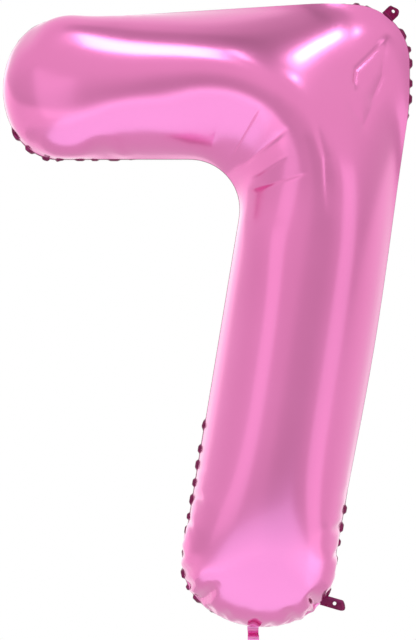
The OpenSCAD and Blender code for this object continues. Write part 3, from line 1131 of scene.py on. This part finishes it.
# Azimuth and elevation in degrees, distance, size, power, colour and the spot aimed at. The last
# one lies under the figure and shines up, for the lower half of the foil to mirror
SOFTBOXES = dict(
    arm=(-7, 54, 1.3, (0.62, 0.46), 3.6, COOL, (-0.375, SEAM_Y, -0.06)),
    streak=(17, 59, 1.3, (0.08, 0.30), 0.30, COOL, (-0.21, SEAM_Y, -0.07)),
    shoulder=(71, 57, 1.4, (0.22, 0.15), 1.1, COOL, (-0.113, SEAM_Y, -0.06)),
    fill=(50, 48, 1.4, (0.10, 0.08), 0.30, COOL, (-0.12, SEAM_Y, -0.09)),
    stem_left=(-48, 2, 1.6, (0.70, 1.1), 0.8, COOL, STEM_SPOT),
    stem_right=(66, -8, 1.5, (0.60, 1.5), 1.1, COOL, STEM_SPOT),
    floor=(0, -90, 0, (2.4, 1.8), 9, COOLER, UNDER_SPOT),
)
for name, settings in SOFTBOXES.items():
    softbox(name + "_softbox", *settings)

ROOM_LEVEL = 0.98
# What the foil mirrors of the room: each shade goes from 1 to its last number as the cosine of
# the angle to its direction goes from the second number to the third
ROOM_SHADES = [
    ((0, 0, -1), -0.35, 0.28, 0.74),               # below
    ((0, 0.35, -0.937), 0.05, 0.15, 1.50),         # but brighter again further below
    ((0.30, -0.94, -0.12), 0.84, 0.99, 0.86),      # round the camera
    ((0.08, -0.26, 0.96), 0.90, 0.975, 0.60),      # above, for the dark band along the arm
    ((0.42, 0.20, 0.88), 0.86, 0.96, 0.68),        # above the shoulder
    ((0, 1, 0), -0.15, 0.5, 1.10),                 # behind
    ((0.85, 0.5, -0.15), 0.60, 0.95, 0.82),        # behind, to the right
    ((-0.70, 0.65, -0.30), 0.30, 0.80, 0.94),      # behind, to the left
]


def studio_world():
    """White to the camera's own eye; for the foil to mirror, a pale room with ROOM_SHADES."""
    world = bpy.data.worlds.new("studio")
    world.use_nodes = True
    nodes, links = world.node_tree.nodes, world.node_tree.links
    background = nodes["Background"]
    place = nodes.new("ShaderNodeTexCoord")

    def shade(direction, start, end, there):
        """1 away from direction, and another level towards it."""
        dot = nodes.new("ShaderNodeVectorMath")
        dot.operation = "DOT_PRODUCT"
        dot.inputs[1].default_value = Vector(direction).normalized()
        links.new(place.outputs["Generated"], dot.inputs[0])
        ramp = nodes.new("ShaderNodeMapRange")
        ramp.interpolation_type = "SMOOTHSTEP"
        ramp.inputs["From Min"].default_value = start
        ramp.inputs["From Max"].default_value = end
        ramp.inputs["To Min"].default_value = 1.0
        ramp.inputs["To Max"].default_value = there
        links.new(dot.outputs["Value"], ramp.inputs["Value"])
        return ramp.outputs["Result"]

    def product(a, b):
        times = nodes.new("ShaderNodeMath")
        times.operation = "MULTIPLY"
        links.new(a, times.inputs[0])
        links.new(b, times.inputs[1])
        return times.outputs["Value"]

    level = shade(*ROOM_SHADES[0])
    for settings in ROOM_SHADES[1:]:
        level = product(level, shade(*settings))
    seen = nodes.new("ShaderNodeLightPath")
    pick = nodes.new("ShaderNodeMix")
    pick.data_type = "FLOAT"
    pick.inputs["B"].default_value = 1.0
    links.new(seen.outputs["Is Camera Ray"], pick.inputs["Factor"])
    scaled = nodes.new("ShaderNodeMath")
    scaled.operation = "MULTIPLY"
    scaled.inputs[1].default_value = ROOM_LEVEL
    links.new(level, scaled.inputs[0])
    links.new(scaled.outputs["Value"], pick.inputs["A"])
    links.new(pick.outputs["Result"], background.inputs["Strength"])
    background.inputs["Color"].default_value = (1, 1, 1, 1)
    bpy.context.scene.world = world


studio_world()
bpy.context.scene.view_settings.view_transform = "Standard"

CAMERA_DISTANCE = 4.0
FRAME_HEIGHT = 0.896          # height of the view at the seam's plane
camera_data = bpy.data.cameras.new("camera")
camera_data.sensor_width = 36.0
camera_data.lens = camera_data.sensor_width * CAMERA_DISTANCE / FRAME_HEIGHT
camera = bpy.data.objects.new("camera", camera_data)
camera.location = FIGURE_MIDDLE - Vector((0, CAMERA_DISTANCE, 0))
camera.rotation_euler = (math.radians(90), 0, 0)
bpy.context.scene.collection.objects.link(camera)
bpy.context.scene.camera = camera
